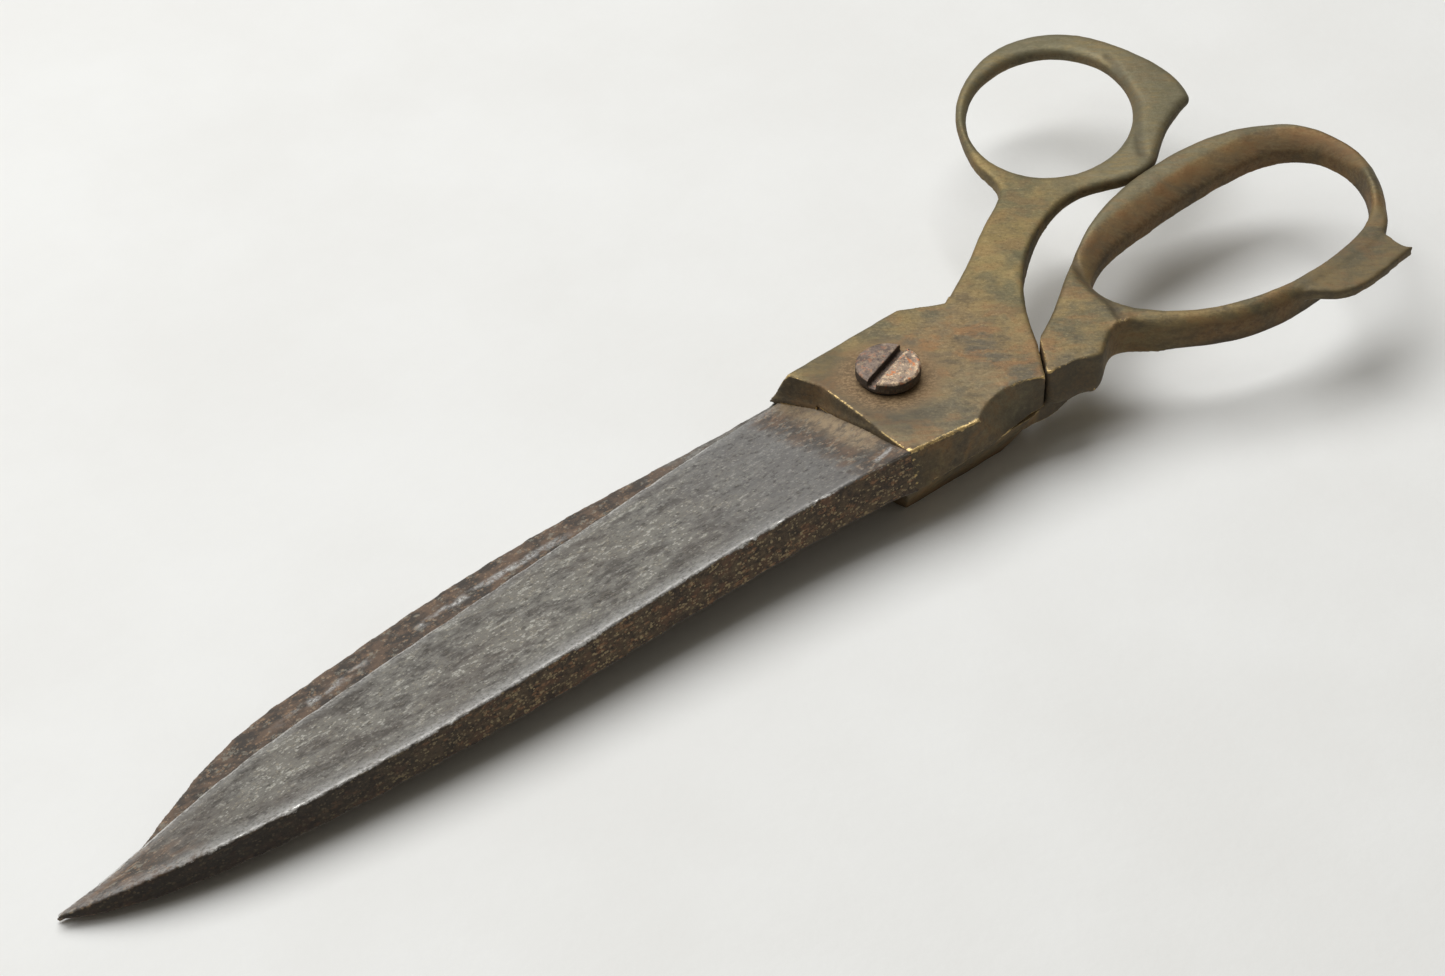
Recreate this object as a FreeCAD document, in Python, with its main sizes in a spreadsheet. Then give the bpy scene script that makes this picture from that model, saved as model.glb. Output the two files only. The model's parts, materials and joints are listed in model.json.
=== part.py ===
"""Fabric shears: two blade-and-handle halves on one pivot screw.

Every piece is drawn in the pivot frame: u (X) runs from the point towards the handles, v (Y) towards
the thumb ring, w (Z) along the pivot screw, and the two halves meet at w = 0. One placement then lays
the closed shears on the table, Z = 0: the underside of the pivot block is flat on it, the lower spine
runs along it to the point, and the handles rise. The origin is where the pivot axis meets the table.
"""
import FreeCAD, Part
import math
import os
import Sketcher

V = FreeCAD.Vector

# name: (value in mm or degrees, what it is)
DIMENSIONS = {
    "blade_length": (146.0, "pivot axis to the point"),
    "block_front": (9.1, "pivot axis to the step where blade and casting meet"),
    "block_thick": (7.0, "thickness of each half at the pivot"),
    "underside_reach": (9.0, "lower block before its underside is trimmed level"),
    "face_gap": (0.08, "each inner face to the meeting plane"),
    "edge_thick": (0.5, "thickness left at the cutting edge"),
    "edge_relief": (0.3, "how far the land at the cutting edge leans back"),
    "point_thick": (1.0, "thickness of each half at the point"),
    "tang_thick": (3.2, "steel tang inside the casting"),
    "tang_width": (18.0, "tang across the shears"),
    "tang_reach": (13.0, "pivot axis to the tang's rear end"),
    "tang_corner": (3.5, "corners cut off the tang's rear end"),
    "tang_overlap": (0.25, "tang running forward into the blade"),
    "shank_radius": (3.0, "pivot screw shank"),
    "bore_clearance": (0.05, "shank to the upper half's bore, radial"),
    "thread_clearance": (0.02, "shank to the lower half's hole, radial"),
    "washer_radius": (4.7, "washer under the screw head"),
    "washer_thick": (0.5, "washer under the screw head"),
    "washer_gap": (0.05, "washer to the upper half"),
    "head_radius": (5.0, "pivot screw head"),
    "head_height": (2.0, "pivot screw head"),
    "head_bevel": (0.35, "bevel round the head"),
    "slot_width": (1.3, "screwdriver slot"),
    "slot_depth": (1.3, "screwdriver slot"),
    "slot_angle": (17.0, "slot to the shears' length"),
    "ring_low": (4.2, "underside of the thumb ring"),
    "ring_high": (6.6, "top of the thumb ring"),
    "bow_low": (2.0, "underside of the finger bow"),
    "spur_low": (4.9, "underside of the finger bow's spur"),
    "spur_thick": (1.9, "the finger bow's spur"),
    "root_drop": (3.0, "lower neck's root below the meeting plane"),
    "neck_round": (1.8, "rounding under the lower neck"),
    "bow_round": (0.8, "rounding along the finger bow"),
    "ring_round": (0.7, "rounding along the thumb ring"),
    "stop_gap": (0.35, "crack between the block and the lower neck when closed"),
}

doc = FreeCAD.newDocument("fabric_shears")
sheet = doc.addObject("Spreadsheet::Sheet", "Sizes")
for row, (alias, (value, meaning)) in enumerate(DIMENSIONS.items(), start=1):
    sheet.set(f"A{row}", alias)
    sheet.set(f"B{row}", str(value))
    sheet.set(f"C{row}", meaning)
    sheet.setAlias(f"B{row}", alias)
doc.recompute()


def size(alias):
    """Read one driving dimension back from the sheet."""
    return float(sheet.get(alias))


# The table passes under the block's front lower edge and under the point.
LEAN = math.degrees(math.atan2(size("block_thick") - size("point_thick"),
                               size("blade_length") - size("block_front")))
PIVOT_HEIGHT = (size("block_thick") * math.cos(math.radians(LEAN))
                + size("block_front") * math.sin(math.radians(LEAN)))
ON_TABLE = FreeCAD.Placement(V(0, 0, PIVOT_HEIGHT), FreeCAD.Rotation(V(0, 1, 0), -LEAN))


# ---------------------------------------------------------------- helpers

def new_body(name):
    body = doc.addObject("PartDesign::Body", name)
    body.Label = name
    return body


def new_sketch(body, name, role, height="0 mm"):
    """A sketch on one of the body's own origin planes, lifted along its normal by an expression."""
    sketch = body.newObject("Sketcher::SketchObject", name)
    plane = next(f for f in body.Origin.OriginFeatures if f.Role == role)
    sketch.AttachmentSupport = (plane, [""])
    sketch.MapMode = "FlatFace"
    sketch.setExpression(".AttachmentOffset.Base.z", height)
    return sketch


def curve_through(points):
    """One smooth open curve through the points; two points give a straight line."""
    vectors = [V(x, y, 0) for x, y in points]
    if len(vectors) == 2:
        return Part.LineSegment(*vectors)
    curve = Part.BSplineCurve()
    curve.interpolate(vectors)
    return curve


def closed_curve(points):
    curve = Part.BSplineCurve()
    curve.interpolate(Points=[V(x, y, 0) for x, y in points], PeriodicFlag=True)
    return curve


def draw_outline(sketch, stretches):
    """A closed outline: each stretch starts where the last one ends."""
    for stretch, following in zip(stretches, stretches[1:] + stretches[:1]):
        sketch.addGeometry(curve_through(stretch + [following[0]]))


def draw_polygon(sketch, points):
    draw_outline(sketch, [[p] for p in points])


def pad(body, name, sketch, length, reversed_=False):
    feature = body.newObject("PartDesign::Pad", name)
    feature.Profile = sketch
    feature.setExpression("Length", length)
    feature.Reversed = reversed_
    doc.recompute()
    return feature


def loft(body, name, sketches, ruled, cut=False):
    kind = "PartDesign::SubtractiveLoft" if cut else "PartDesign::AdditiveLoft"
    feature = body.newObject(kind, name)
    feature.Profile = sketches[0]
    feature.Sections = sketches[1:]
    feature.Ruled = ruled
    doc.recompute()
    return feature


def pocket_through(body, name, sketch):
    """Cut the sketch through the whole body, both ways."""
    before = body.Shape.Volume
    feature = body.newObject("PartDesign::Pocket", name)
    feature.Profile = sketch
    feature.Type = "ThroughAll"
    feature.Midplane = True
    doc.recompute()
    if feature.Shape.Volume >= before:
        raise RuntimeError(f"{name} cut nothing")
    return feature


def table_height(u):
    """The table's w at a place along the shears."""
    lean = math.radians(LEAN)
    return -(PIVOT_HEIGHT + u * math.sin(lean)) / math.cos(lean)


def cut_at_table(body, name, reach):
    """Trim everything below the table within reach of the pivot axis."""
    sketch = new_sketch(body, name + "_line", "XZ_Plane")
    floor = -2 * size("underside_reach")
    draw_polygon(sketch, [(-reach, table_height(-reach)), (reach, table_height(reach)),
                          (reach, floor), (-reach, floor)])
    return pocket_through(body, name, sketch)


def bore(body, name, radius):
    """A hole round the pivot axis; radius is an expression on the sheet."""
    sketch = new_sketch(body, name + "_sketch", "XY_Plane")
    sketch.addGeometry(Part.Circle(V(0, 0, 0), V(0, 0, 1), size("shank_radius")))
    sketch.addConstraint(Sketcher.Constraint("Radius", 0, size("shank_radius")))
    sketch.addConstraint(Sketcher.Constraint("Coincident", 0, 3, -1, 1))
    sketch.setExpression("Constraints[0]", radius)
    return pocket_through(body, name, sketch)


def soften(body, name, radius, wanted):
    """Round the edges of the body's tip that the test picks out."""
    tip = body.Tip
    edges = [f"Edge{i}" for i, edge in enumerate(tip.Shape.Edges, start=1) if wanted(edge)]
    feature = body.newObject("PartDesign::Fillet", name)
    feature.Base = (tip, edges)
    feature.setExpression("Radius", radius)
    doc.recompute()
    return feature


def flat_at(edge, height):
    """True for an edge that lies in the plane w = height."""
    box = edge.BoundBox
    return abs(box.ZMin - height) < 0.01 and abs(box.ZMax - height) < 0.01


# ---------------------------------------------------------------- blades

# Share of the blade's length from the pivot: (share, spine at the outer face, spine at the inner face,
# cutting edge), all as distances from the centre line.
UPPER_BLADE = [
    (0.062, 14.6, 16.2, 12.6),
    (0.21, 13.0, 14.1, 12.0),
    (0.44, 12.3, 13.3, 10.0),
    (0.67, 10.9, 11.6, 7.9),
    (0.83, 8.4, 9.0, 5.0),
    (0.92, 5.6, 6.1, 2.2),
    (1.00, 0.5, 0.7, 0.5),
]
UPPER_HEIGHTS = (7.0, 7.0, 6.5, 5.7, 4.9, 3.9, 1.0)
LOWER_BLADE = [
    (0.062, 13.3, 13.6, 12.6),
    (0.21, 13.7, 14.1, 12.0),
    (0.44, 14.9, 15.3, 10.0),
    (0.67, 12.8, 13.2, 7.9),
    (0.83, 7.7, 8.1, 5.0),
    (0.92, 1.8, 2.1, 2.2),
    (1.00, 0.5, 0.7, 0.5),
]


def lower_height(share):
    """The lower spine runs straight along the table from the block to the point."""
    root = size("block_front") / size("blade_length")
    along = (share - root) / (1.0 - root)
    return size("block_thick") + along * (size("point_thick") - size("block_thick"))


def make_blade(name, stations, heights, side):
    """side is +1 for the upper half (spine towards -v, outer face up), -1 for the lower half."""
    body = new_body(name)
    gap = size("face_gap")
    sections = []
    for number, ((share, spine_out, spine_in, edge), height) in enumerate(zip(stations, heights)):
        sketch = new_sketch(body, f"{name}_section_{number}", "YZ_Plane",
                            f"-{share} * Sizes.blade_length")
        corners = [(-spine_in, gap), (edge, gap),
                   (edge - size("edge_relief"), gap + size("edge_thick")), (-spine_out, height)]
        draw_polygon(sketch, [(side * v, side * w) for v, w in corners])
        sections.append(sketch)
    loft(body, f"{name}_blank", sections, ruled=False)
    tang = new_sketch(body, f"{name}_tang_plan", "XY_Plane",
                      "Sizes.face_gap" if side > 0 else "-Sizes.face_gap")
    half, corner = size("tang_width") / 2, size("tang_corner")
    front, rear = -size("block_front") - size("tang_overlap"), size("tang_reach")
    draw_polygon(tang, [(front, -half), (rear - corner, -half), (rear, -half + corner),
                        (rear, half - corner), (rear - corner, half), (front, half)])
    pad(body, f"{name}_tang", tang, "Sizes.tang_thick", reversed_=side < 0)
    bore(body, f"{name}_bore", "Sizes.shank_radius + Sizes."
         + ("bore_clearance" if side > 0 else "thread_clearance"))
    return body


# ---------------------------------------------------------------- castings

# Plan of each pivot block at the meeting plane and at its outer face, spine side towards -v.
UPPER_BLOCK = (
    [(-9.3, -16.2), (2.8, -16.3), (17.2, -16.2), (22.4, -9.1), (21.0, 9.2),
     (19.6, 9.2), (16.0, 11.6), (13.4, 13.2), (-11.8, 13.8), (-9.8, 5.0)],
    [(-9.1, -14.6), (2.8, -16.6), (16.9, -16.4), (22.4, -9.1), (19.8, 7.6),
     (18.3, 6.7), (14.2, 9.0), (11.8, 10.5), (-11.1, 10.6), (-8.9, 5.2)],
)
LOWER_BLOCK = (
    [(-9.3, -13.6), (2.8, -14.6), (16.8, -15.2), (22.0, -9.2), (22.4, 9.0),
     (20.6, 13.4), (18.4, 15.0), (16.0, 15.7), (-10.4, 15.6), (-9.6, 5.0)],
    [(-9.1, -13.4), (2.8, -14.4), (16.4, -15.0), (21.0, -9.2), (19.8, 7.6),
     (18.3, 9.4), (15.6, 11.9), (12.8, 12.4), (-7.6, 12.2), (-9.1, 5.2)],
)
# The scallop's arc at the block's outer face and at the meeting plane, and a line well outside the wall.
SCALLOP_OUTER = [(2.8, -16.6), (9.4, -14.0), (17.2, -16.3)]
SCALLOP_INNER = [(7.2, -16.4), (12.6, -15.6), (17.9, -15.4)]
OUTSIDE_WALL = -22.0
# Places along u: the thumb ring's flat top starts at the first, and nothing reaches the second.
RING_BEGINS = 52.0
PAST_HANDLES = 100.0


def make_block(body, name, inner, outer, reach, side):
    """The cast block round the pivot, narrower at its outer face; reach is its thickness on the sheet."""
    share = (size(reach) - size("face_gap")) / (size("block_thick") - size("face_gap"))
    far = [(u + (outer_u - u) * share, v + (outer_v - v) * share)
           for (u, v), (outer_u, outer_v) in zip(inner, outer)]
    sketches = []
    for number, (level, outline) in enumerate((("face_gap", inner), (reach, far))):
        sketch = new_sketch(body, f"{name}_block_{number}", "XY_Plane",
                            f"Sizes.{level}" if side > 0 else f"-Sizes.{level}")
        draw_polygon(sketch, [(u, side * v) for u, v in outline])
        sketches.append(sketch)
    loft(body, f"{name}_block", sketches, ruled=True)


def make_scallop(body, name, side):
    """A shallow crescent ground into the rear of the block's spine wall."""
    sketches = []
    for number, (level, arc) in enumerate((("0", SCALLOP_INNER), ("Sizes.block_thick", SCALLOP_OUTER))):
        sketch = new_sketch(body, f"{name}_scallop_{number}", "XY_Plane",
                            level if side > 0 else f"-{level}")
        start, middle, end = [V(u, side * v, 0) for u, v in arc]
        sketch.addGeometry(Part.Arc(start, middle, end))
        outer_end, outer_start = V(end.x, side * OUTSIDE_WALL, 0), V(start.x, side * OUTSIDE_WALL, 0)
        for near, far in ((end, outer_end), (outer_end, outer_start), (outer_start, start)):
            sketch.addGeometry(Part.LineSegment(near, far))
        sketches.append(sketch)
    loft(body, f"{name}_scallop", sketches, ruled=True, cut=True)


def make_upper_handle(blade):
    body = new_body("upper_casting")
    make_block(body, "upper", *UPPER_BLOCK, "block_thick", side=1)
    plan = new_sketch(body, "upper_neck_plan", "XY_Plane", "Sizes.face_gap")
    draw_outline(plan, [
        [(15.0, -4.0)],
        [(22.4, -9.1), (26.6, -2.7), (33.2, 4.5), (40.5, 9.5), (48.3, 12.5), (54.6, 13.0),
         (59.6, 11.4)],
        [(63.4, 10.2), (68.4, 10.4), (75.0, 14.4), (81.5, 17.5)],
        [(86.6, 19.1), (88.9, 24.0), (89.6, 29.5), (88.8, 36.5), (85.6, 44.8), (78.6, 50.1),
         (70.3, 50.8), (62.3, 48.0), (55.0, 42.6), (50.0, 35.7), (46.8, 28.6), (45.6, 23.2),
         (38.6, 18.1), (30.3, 13.2), (23.0, 9.2)],
        [(18.3, 6.7)],
    ])
    pad(body, "upper_neck", plan, "Sizes.block_thick - Sizes.face_gap")
    hole = new_sketch(body, "thumb_hole_plan", "XY_Plane")
    draw_thumb_hole(hole)
    pocket_through(body, "thumb_hole", hole)
    side_view = new_sketch(body, "upper_side_view", "XZ_Plane")
    draw_polygon(side_view, [(20.0, -2.0), (24.0, 0.0), (46.0, size("ring_low")),
                             (PAST_HANDLES, size("ring_low")), (PAST_HANDLES, -2.0)])
    draw_polygon(side_view, [(34.0, size("block_thick")), (RING_BEGINS, size("ring_high")),
                             (PAST_HANDLES, size("ring_high")), (PAST_HANDLES, 9.0), (34.0, 9.0)])
    pocket_through(body, "upper_taper", side_view)
    soften(body, "ring_rounding", "Sizes.ring_round",
           lambda edge: (flat_at(edge, size("ring_high")) or flat_at(edge, size("ring_low")))
           and edge.CenterOfMass.x > RING_BEGINS)
    make_scallop(body, "upper", side=1)
    bore(body, "upper_casting_bore", "Sizes.shank_radius + Sizes.bore_clearance")
    return cut_for_blade("upper_handle", body, blade)


def draw_thumb_hole(sketch):
    """An oval that leans with the neck."""
    centre = V(66.2, 31.7, 0)
    lean = math.radians(36.0)
    long_axis = V(math.cos(lean), math.sin(lean), 0)
    short_axis = V(-math.sin(lean), math.cos(lean), 0)
    sketch.addGeometry(Part.Ellipse(centre + long_axis * 17.7, centre + short_axis * 13.7, centre))


def make_lower_handle(blade):
    body = new_body("lower_casting")
    make_block(body, "lower", *LOWER_BLOCK, "underside_reach", side=-1)
    cut_at_table(body, "underside", reach=26.0)
    gap = size("stop_gap")
    plan = new_sketch(body, "lower_neck_plan", "XY_Plane")
    draw_outline(plan, [
        [(18.2, -15.4)],
        [(22.4 + gap, -9.1 - gap * 0.5)],
        [(24.0, -8.2), (31.0, -4.5), (38.9, 0.5), (45.5, 4.3), (52.6, 7.3), (60.4, 9.2)],
        [(67.3, 9.7), (75.6, 9.6), (82.4, 8.2), (88.4, 5.5), (93.0, 1.6), (95.3, -4.0),
         (95.2, -10.5), (91.7, -17.7), (87.2, -22.7), (81.0, -27.4)],
        [(77.0, -28.3), (66.0, -28.5), (58.0, -27.8), (51.3, -26.4), (44.0, -22.7), (39.0, -18.9),
         (35.8, -15.6)],
        [(32.4, -15.2), (29.5, -16.8), (26.9, -18.4)],
        [(25.2, -18.8), (22.1, -17.5), (18.9, -16.6)],
    ])
    pad(body, "lower_neck", plan, "Sizes.block_thick")
    # The neck's near lower edge, between the block's rear corner and the bow.
    soften(body, "lower_neck_underside", "Sizes.neck_round",
           lambda edge: flat_at(edge, 0.0) and edge.CenterOfMass.x < 34 and edge.CenterOfMass.y < -15.5
           and edge.Length > 3 and edge.BoundBox.XMin > 18)
    root = new_sketch(body, "lower_root_plan", "XY_Plane")
    draw_polygon(root, [(12.0, -14.4), (19.4, -15.3), (27.6, -14.2), (33.0, -12.8), (34.0, -6.0),
                        (30.0, -4.9), (22.0, -8.6), (12.0, -6.0)])
    pad(body, "lower_root", root, "Sizes.root_drop", reversed_=True)
    hole = new_sketch(body, "finger_hole_plan", "XY_Plane")
    hole.addGeometry(closed_curve([
        (40.1, -3.5), (45.0, -0.7), (55.0, 1.2), (68.0, 1.9), (81.0, 1.4), (87.6, -0.5),
        (91.6, -4.8), (92.1, -10.5), (89.3, -16.8), (83.0, -22.6), (73.0, -25.3), (61.8, -25.5),
        (52.0, -23.2), (44.4, -19.2), (39.6, -13.8), (38.4, -8.5)]))
    pocket_through(body, "finger_hole", hole)
    side_view = new_sketch(body, "lower_side_view", "XZ_Plane")
    draw_polygon(side_view, [(24.0, -4.0), (26.0, -3.0), (40.0, size("bow_low")),
                             (PAST_HANDLES, size("bow_low")), (PAST_HANDLES, -4.0)])
    pocket_through(body, "lower_taper", side_view)
    # Both top edges from the neck backwards, and the bow's long lower edges.
    soften(body, "bow_rounding", "Sizes.bow_round",
           lambda edge: edge.CenterOfMass.x > 22 and edge.Length > 3
           and (flat_at(edge, size("block_thick"))
                or flat_at(edge, size("bow_low")) and 20 < edge.Length < 100))
    spur = new_sketch(body, "spur_plan", "XY_Plane", "Sizes.spur_low")
    draw_outline(spur, [
        [(62.0, -26.6)],
        [(60.0, -27.2), (62.6, -30.2), (65.2, -32.6), (69.3, -33.6), (77.0, -33.1)],
        [(81.4, -32.7), (80.6, -30.2), (81.0, -27.4)],
        [(80.0, -25.4)],
    ])
    pad(body, "finger_spur", spur, "Sizes.spur_thick")
    make_scallop(body, "lower", side=-1)
    bore(body, "lower_casting_bore", "Sizes.shank_radius + Sizes.thread_clearance")
    return cut_for_blade("lower_handle", body, blade)


def cut_for_blade(name, casting, blade):
    """The casting is poured round the blade's root, so the blade's shape is taken out of it."""
    result = doc.addObject("Part::Cut", name)
    result.Label = name
    result.Base = casting
    result.Tool = blade
    doc.recompute()
    return result


# ---------------------------------------------------------------- pivot

def make_screw():
    body = new_body("pivot_screw")
    under_head = size("block_thick") + size("washer_gap") + size("washer_thick")
    top = under_head + size("head_height")
    bevel = size("head_bevel")
    profile = new_sketch(body, "screw_profile", "XZ_Plane")
    draw_polygon(profile, [
        (0, -size("underside_reach")), (size("shank_radius"), -size("underside_reach")),
        (size("shank_radius"), under_head), (size("head_radius"), under_head),
        (size("head_radius"), top - bevel), (size("head_radius") - bevel, top), (0, top)])
    turned = body.newObject("PartDesign::Revolution", "screw_turned")
    turned.Profile = profile
    turned.ReferenceAxis = (profile, ["V_Axis"])
    turned.Angle = 360.0
    doc.recompute()
    cut_at_table(body, "screw_end", reach=8.0)
    slot = new_sketch(body, "slot_plan", "XY_Plane", f"{top} mm")
    lean = math.radians(size("slot_angle"))
    along = V(math.cos(lean), math.sin(lean), 0) * (size("head_radius") + 1)
    across = V(-math.sin(lean), math.cos(lean), 0) * (size("slot_width") / 2)
    corners = [along + across, along - across, -along - across, -along + across]
    draw_polygon(slot, [(c.x, c.y) for c in corners])
    before = body.Shape.Volume
    cut = body.newObject("PartDesign::Pocket", "screw_slot")
    cut.Profile = slot
    cut.setExpression("Length", "Sizes.slot_depth")
    doc.recompute()
    if cut.Shape.Volume >= before:
        raise RuntimeError("the slot cut nothing")
    return body


def make_washer():
    body = new_body("head_washer")
    ring = new_sketch(body, "washer_plan", "XY_Plane", "Sizes.block_thick + Sizes.washer_gap")
    for number, (alias, extra) in enumerate((("washer_radius", ""),
                                             ("shank_radius", " + Sizes.thread_clearance"))):
        ring.addGeometry(Part.Circle(V(0, 0, 0), V(0, 0, 1), size(alias)))
        ring.addConstraint(Sketcher.Constraint("Radius", number, size(alias)))
        ring.setExpression(f"Constraints[{number}]", f"Sizes.{alias}{extra}")
    pad(body, "washer_disc", ring, "Sizes.washer_thick")
    return body


# ---------------------------------------------------------------- assembly

upper_blade = make_blade("upper_blade", UPPER_BLADE, UPPER_HEIGHTS, side=1)
lower_blade = make_blade("lower_blade", LOWER_BLADE,
                         [lower_height(station[0]) for station in LOWER_BLADE], side=-1)
upper_handle = make_upper_handle(upper_blade)
lower_handle = make_lower_handle(lower_blade)
nodes = [upper_blade, upper_handle, lower_blade, lower_handle, make_screw(), make_washer()]

for body in doc.Objects:
    if body.TypeId == "PartDesign::Body":
        body.Placement = ON_TABLE
doc.recompute()

for obj in doc.Objects:
    if "Invalid" in obj.State or "Error" in obj.State:
        raise RuntimeError(f"{obj.Name} failed: {obj.State}")
os.makedirs("parts", exist_ok=True)
for node in nodes:
    shape = node.Shape
    if shape.isNull() or not shape.isValid() or not shape.Solids:
        raise RuntimeError(f"{node.Label} has no valid solid")
    shape.exportStep(f"parts/{node.Label}.step")
    box = shape.optimalBoundingBox()
    print(f"{node.Label}: {len(shape.Solids)} solid, {shape.Volume:.1f} mm3, "
          f"X {box.XMin:.2f}..{box.XMax:.2f} Y {box.YMin:.2f}..{box.YMax:.2f} "
          f"Z {box.ZMin:.2f}..{box.ZMax:.2f}")
axis = ON_TABLE.Rotation.multVec(V(0, 0, 1))
print(f"pivot at Z {PIVOT_HEIGHT:.4f} mm, axis {axis.x:.9f} {axis.y:.9f} {axis.z:.9f}, lean {LEAN:.4f}")
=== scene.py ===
"""Fabric shears: aged steel blades cast into brass handles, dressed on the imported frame.

Everything is in metres in the frame's own axes. Surfaces are shaped and painted in the pivot's
coordinates, in millimetres: u along the shears towards the handles, v across them towards the thumb
ring, w up along the pivot, with the two halves meeting at w = 0.
"""
import itertools
import json
import math

import bmesh
import bpy
import numpy as np
from mathutils import Matrix, Vector
from mathutils.kdtree import KDTree


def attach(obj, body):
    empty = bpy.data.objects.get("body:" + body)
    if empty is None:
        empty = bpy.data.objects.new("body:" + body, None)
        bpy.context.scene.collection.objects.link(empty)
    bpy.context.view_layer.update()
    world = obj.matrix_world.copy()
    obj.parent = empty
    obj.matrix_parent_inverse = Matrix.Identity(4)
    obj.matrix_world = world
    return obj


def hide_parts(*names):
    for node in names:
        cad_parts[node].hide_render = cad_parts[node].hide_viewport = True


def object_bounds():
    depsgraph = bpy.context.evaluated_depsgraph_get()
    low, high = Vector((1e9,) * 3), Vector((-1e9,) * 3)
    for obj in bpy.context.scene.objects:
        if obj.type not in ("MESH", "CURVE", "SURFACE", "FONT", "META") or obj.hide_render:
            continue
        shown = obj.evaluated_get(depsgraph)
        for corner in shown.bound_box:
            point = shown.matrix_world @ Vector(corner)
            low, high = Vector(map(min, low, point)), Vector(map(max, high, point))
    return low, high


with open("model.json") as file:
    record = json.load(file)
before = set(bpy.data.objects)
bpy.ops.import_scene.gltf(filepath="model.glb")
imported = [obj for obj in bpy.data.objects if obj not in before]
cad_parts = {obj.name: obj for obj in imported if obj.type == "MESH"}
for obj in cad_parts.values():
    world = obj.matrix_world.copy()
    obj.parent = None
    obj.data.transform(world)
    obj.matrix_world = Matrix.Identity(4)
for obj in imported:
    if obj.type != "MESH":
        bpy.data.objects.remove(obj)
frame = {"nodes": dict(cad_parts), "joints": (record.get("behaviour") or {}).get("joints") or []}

CAD_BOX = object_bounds()
MM = 0.001
PIVOT = frame["joints"][0]
AXIS = np.array(PIVOT["axis"])
ALONG = np.array([AXIS[2], 0.0, -AXIS[0]])
CENTRE = np.array(PIVOT["pos_m"])
# Cells along each side of the block of random numbers that lumps() repeats.
LATTICE = 32
# Vertices closer than this, in millimetres, are joined before a skin is grown.
WELD = 0.001


# ---------------------------------------------------------------- surfaces

def steps(values, low, high):
    """0 below low, 1 above high, smooth between; low may be the larger of the two."""
    part = np.clip((values - low) / (high - low), 0.0, 1.0)
    return part * part * (3.0 - 2.0 * part)


def lumps(points, lump, seed):
    """A smooth random field from -1 to 1. lump is its lumps' size in millimetres, one or one per axis."""
    lattice = np.random.default_rng(seed).uniform(-1.0, 1.0, (LATTICE, LATTICE, LATTICE))
    place = points / np.array(lump)
    cell = np.floor(place).astype(int)
    part = place - cell
    part = part * part * (3.0 - 2.0 * part)
    total = np.zeros(len(points))
    for corner in itertools.product((0, 1), repeat=3):
        weight = np.prod(np.where(corner, part, 1.0 - part), axis=1)
        i, j, k = ((cell + corner) % LATTICE).T
        total += weight * lattice[i, j, k]
    return total


def nearest(places, marks):
    """Each place's distance in plan to the nearest mark, in millimetres."""
    tree = KDTree(len(marks))
    for number, (u, v) in enumerate(marks):
        tree.insert((u, v, 0.0), number)
    tree.balance()
    return np.array([tree.find((u, v, 0.0))[2] for u, v in places])


def from_line(places, corners):
    """Each place's distance in plan to a line of straight stretches, in millimetres."""
    corners = np.array(corners)
    best = np.full(len(places), np.inf)
    for start, end in zip(corners, corners[1:]):
        stretch = end - start
        share = np.clip((places - start) @ stretch / (stretch @ stretch), 0.0, 1.0)
        best = np.minimum(best, np.hypot(*(places - start - np.outer(share, stretch)).T))
    return best


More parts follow.
